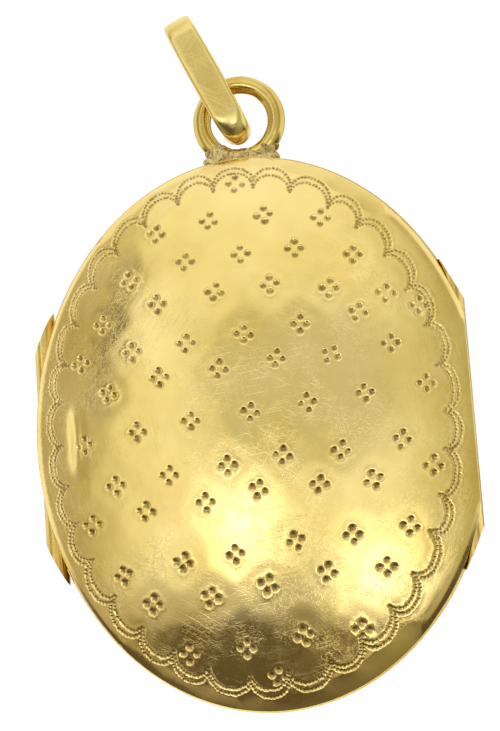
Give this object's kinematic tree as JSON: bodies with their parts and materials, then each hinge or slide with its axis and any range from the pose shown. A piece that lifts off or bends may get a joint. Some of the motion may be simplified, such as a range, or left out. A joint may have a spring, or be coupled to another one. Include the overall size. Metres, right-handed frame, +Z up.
{
  "type": "hinged oval locket",
  "caption": "Oval domed locket that opens on a side hinge, with glazed photo frames inside, a ring at the top and a flat strap bail for a chain.",
  "frame": {"origin": "middle of the closed locket's width and depth, at the foot of the oval case", "axes": "+Z up along the case's long axis towards the ring; the punched front cover faces -Y; the hinge is on the +X side"},
  "size_m": [0.0283, 0.007, 0.0462],
  "materials": {
    "front_shell_gold": "polished yellow gold, worn, punched by hand",
    "rear_shell_gold": "polished yellow gold, worn, plain",
    "frame_gold": "polished yellow gold",
    "hinge_gold": "drawn gold tube, worn",
    "bar_gold": "half-round gold wire, worn",
    "ring_gold": "round gold wire, worn",
    "bail_gold": "flat gold strip, worn",
    "solder": "rough grey solder with pits",
    "glass": "thin clear glass, slightly scratched",
    "aged_card": "aged card, matt",
    "backing_card": "pressed card, matt"
  },
  "bodies": {
    "rear_case": {"rear_cover": "rear_shell_gold", "rear_frame": "frame_gold", "upper_hinge_knuckle": "hinge_gold", "lower_hinge_knuckle": "hinge_gold", "hinge_pin": "hinge_gold", "rear_bar": "bar_gold", "rear_retaining_ring": "frame_gold", "rear_glass": "glass", "rear_photo_card": "aged_card", "rear_backing_pad": "backing_card", "pendant_ring": "ring_gold", "ring_solder": "solder"},
    "front_half": {"front_cover": "front_shell_gold", "front_frame": "frame_gold", "middle_hinge_knuckle": "hinge_gold", "thumb_bar": "bar_gold", "front_retaining_ring": "frame_gold", "front_glass": "glass", "front_photo_card": "aged_card", "front_backing_pad": "backing_card"},
    "bail_loop": {"bail": "bail_gold"}
  },
  "joints": [
    {"name": "cover_hinge", "type": "hinge", "parent": "rear_case", "child": "front_half", "pos_m": [0.01345, 0, 0.0179], "axis": [0, 0, 1], "range_deg": [0, 140]},
    {"name": "bail_swing", "type": "hinge", "parent": "rear_case", "child": "bail_loop", "pos_m": [0.0005, 0.0008, 0.03852], "axis": [0, 1, 0], "range_deg": [-84, 132]}
  ]
}
